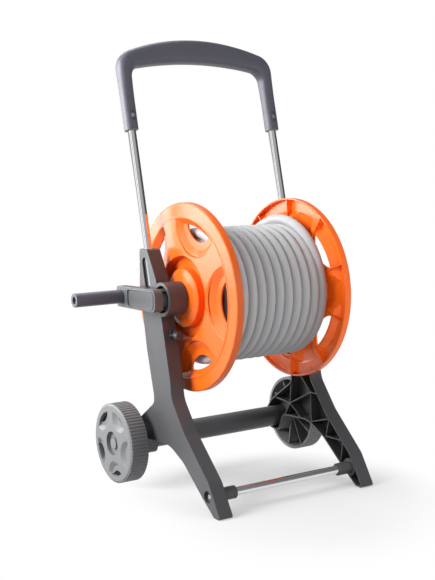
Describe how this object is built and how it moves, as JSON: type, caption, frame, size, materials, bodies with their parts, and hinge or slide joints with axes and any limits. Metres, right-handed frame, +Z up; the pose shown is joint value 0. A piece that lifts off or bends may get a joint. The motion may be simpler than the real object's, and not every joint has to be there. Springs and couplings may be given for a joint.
{
  "type": "garden hose reel cart",
  "caption": "Two-wheeled cart with a U-shaped push handle, two moulded side frames and a cranked drum between them that carries a wound garden hose.",
  "frame": {"origin": "on the ground, under the middle of the bounding box of everything but the hose", "axes": "+Z up, +Y from the feet at the front to the wheels at the rear, +X across from the crank side to the water inlet side"},
  "size_m": [0.53, 0.3784, 0.8447],
  "materials": {
    "frame_grey": "satin grey moulded plastic with a fine grain",
    "handle_grey": "satin dark grey moulded plastic",
    "chrome_tube": "bright chrome-plated steel tube",
    "zinc_steel": "bright zinc-plated steel",
    "wheel_grey": "satin grey moulded plastic",
    "drum_orange": "glossy orange moulded plastic",
    "hose_grey": "matt mid grey flexible hose",
    "seal_rubber": "black rubber",
    "dark_plastic": "satin near-black moulded plastic"
  },
  "bodies": {
    "cart": {"left_side_frame": "frame_grey", "right_side_frame": "frame_grey", "handle_grip": "handle_grey", "left_handle_tube": "chrome_tube", "right_handle_tube": "chrome_tube", "left_handle_screw": "zinc_steel", "right_handle_screw": "zinc_steel", "foot_bar": "chrome_tube", "left_bar_plug": "dark_plastic", "right_bar_plug": "dark_plastic", "left_bar_screw": "zinc_steel", "right_bar_screw": "zinc_steel", "wheel_axle": "zinc_steel", "cross_tube": "dark_plastic", "left_axle_spacer": "dark_plastic", "right_axle_spacer": "dark_plastic", "left_wheel_cap": "dark_plastic", "right_wheel_cap": "dark_plastic", "nozzle_peg": "dark_plastic"},
    "drum": {"left_flange": "drum_orange", "right_flange": "drum_orange", "drum_barrel": "drum_orange", "hose_coil": "hose_grey", "hose_tail": "hose_grey", "hose_connector": "dark_plastic", "water_hub": "dark_plastic", "crank_arm": "frame_grey", "crank_bolt": "zinc_steel", "crank_pin": "zinc_steel"},
    "crank_grip": {"crank_grip": "handle_grey"},
    "left_wheel": {"left_wheel": "wheel_grey"},
    "right_wheel": {"right_wheel": "wheel_grey"},
    "water_inlet": {"inlet_elbow": "dark_plastic", "inlet_seal": "seal_rubber", "inlet_nipple": "dark_plastic"}
  },
  "joints": [
    {"name": "drum_spin", "type": "hinge", "parent": "cart", "child": "drum", "pos_m": [0.0346, 0.00042, 0.3625], "axis": [1, 0, 0], "continuous": true},
    {"name": "crank_grip_spin", "type": "hinge", "parent": "drum", "child": "crank_grip", "pos_m": [-0.2164, 0.10829, 0.35732], "axis": [1, 0, 0], "continuous": true},
    {"name": "left_wheel_spin", "type": "hinge", "parent": "cart", "child": "left_wheel", "pos_m": [-0.176, 0.10032, 0.0764], "axis": [1, 0, 0], "continuous": true},
    {"name": "right_wheel_spin", "type": "hinge", "parent": "cart", "child": "right_wheel", "pos_m": [0.2452, 0.10032, 0.0764], "axis": [1, 0, 0], "continuous": true},
    {"name": "inlet_swivel", "type": "hinge", "parent": "cart", "child": "water_inlet", "pos_m": [0.2272, 0.00042, 0.3625], "axis": [1, 0, 0], "continuous": true}
  ]
}
